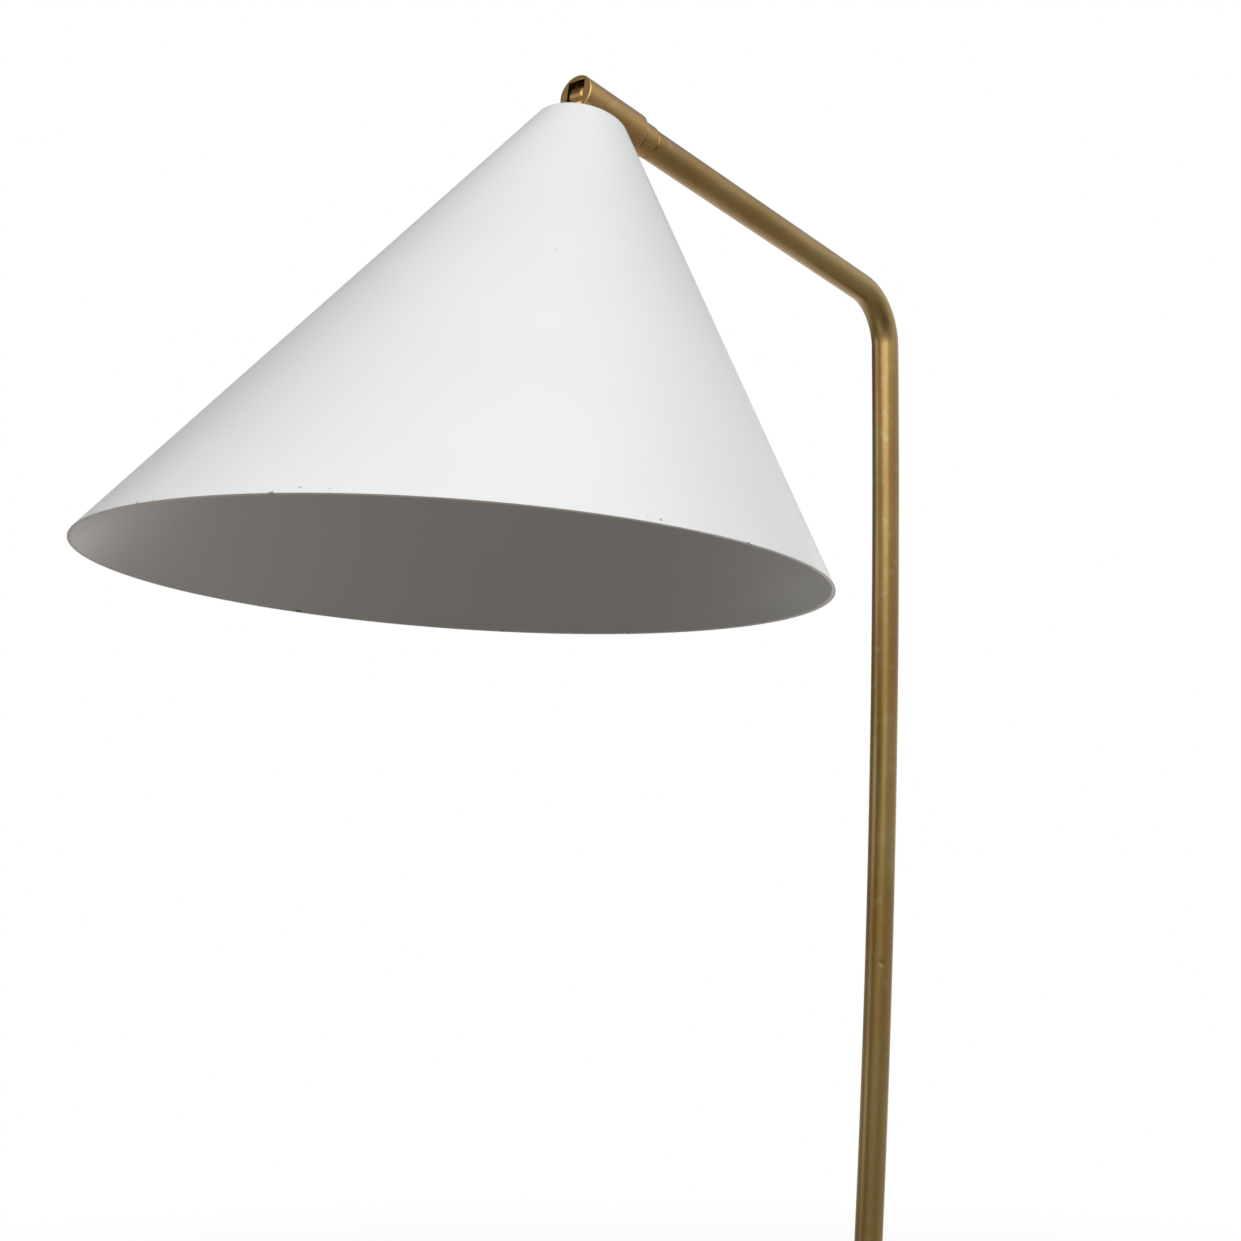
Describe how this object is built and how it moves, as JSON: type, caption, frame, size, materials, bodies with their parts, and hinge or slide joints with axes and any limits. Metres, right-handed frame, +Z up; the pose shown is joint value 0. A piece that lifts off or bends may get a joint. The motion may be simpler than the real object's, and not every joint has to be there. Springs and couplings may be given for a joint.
{
  "type": "tripod floor lamp",
  "caption": "Floor lamp with a bowed brass stem bent into an arm, a tilting and swivelling slanted cone shade on a slotted knuckle, and a tripod base.",
  "frame": {"origin": "middle of the bounding box, on the floor", "axes": "+Z up; the arm lies in the XZ plane and reaches towards -X; the part mirrors across the XZ plane"},
  "size_m": [0.5946, 0.478, 1.4012],
  "materials": {
    "aged_brass": "unlacquered brass, evenly aged, satin",
    "white_paint": "satin white paint inside and out",
    "steel": "plain zinc-plated steel",
    "nickel": "nickel-plated thin sheet",
    "fibre": "dark vulcanised fibre",
    "black_resin": "moulded black resin",
    "porcelain": "pale insulating disc",
    "opal_glass": "opal glass envelope",
    "rubber": "black rubber"
  },
  "bodies": {
    "stand": {"stem_upper_tube": "aged_brass", "stem_lower_tube": "aged_brass", "stem_coupler": "aged_brass", "swivel_spigot": "aged_brass", "collar_screw": "steel", "hub_body": "aged_brass", "stem_set_screw": "steel", "cord_bushing": "black_resin", "leg_tube_front": "aged_brass", "leg_ferrule_front": "aged_brass", "foot_pad_front": "rubber", "leg_screw_front": "steel", "leg_tube_left": "aged_brass", "leg_ferrule_left": "aged_brass", "foot_pad_left": "rubber", "leg_screw_left": "steel", "leg_tube_right": "aged_brass", "leg_ferrule_right": "aged_brass", "foot_pad_right": "rubber", "leg_screw_right": "steel"},
    "head": {"head_knuckle": "aged_brass", "head_stop_screw": "steel", "pivot_pin": "steel", "swivel_washer": "fibre"},
    "shade": {"shade_tongue": "aged_brass", "shade_gasket": "fibre", "shade_inner_washer": "steel", "shade_lock_nut": "steel", "shade": "white_paint", "socket_cup": "aged_brass", "socket_cup_nut": "steel", "socket_body": "black_resin", "socket_screw_shell": "nickel", "socket_contact": "nickel", "bulb_tip": "nickel", "bulb_cap": "nickel", "bulb_insulator": "porcelain", "bulb_glass": "opal_glass"},
    "switch": {"switch_shaft": "aged_brass", "switch_knob": "black_resin"}
  },
  "joints": [
    {"name": "head_swivel", "type": "hinge", "parent": "stand", "child": "head", "pos_m": [-0.00905, 0, 1.3847], "axis": [-0.9839, 0, 0.1788], "range_deg": [-160, 160]},
    {"name": "shade_tilt", "type": "hinge", "parent": "head", "child": "shade", "pos_m": [-0.04053, 0, 1.39042], "axis": [0, 1, 0], "range_deg": [-12, 75]},
    {"name": "switch_turn", "type": "hinge", "parent": "shade", "child": "switch", "pos_m": [-0.05076, 0, 1.33863], "axis": [-0.9636, 0, 0.2672], "continuous": true}
  ]
}
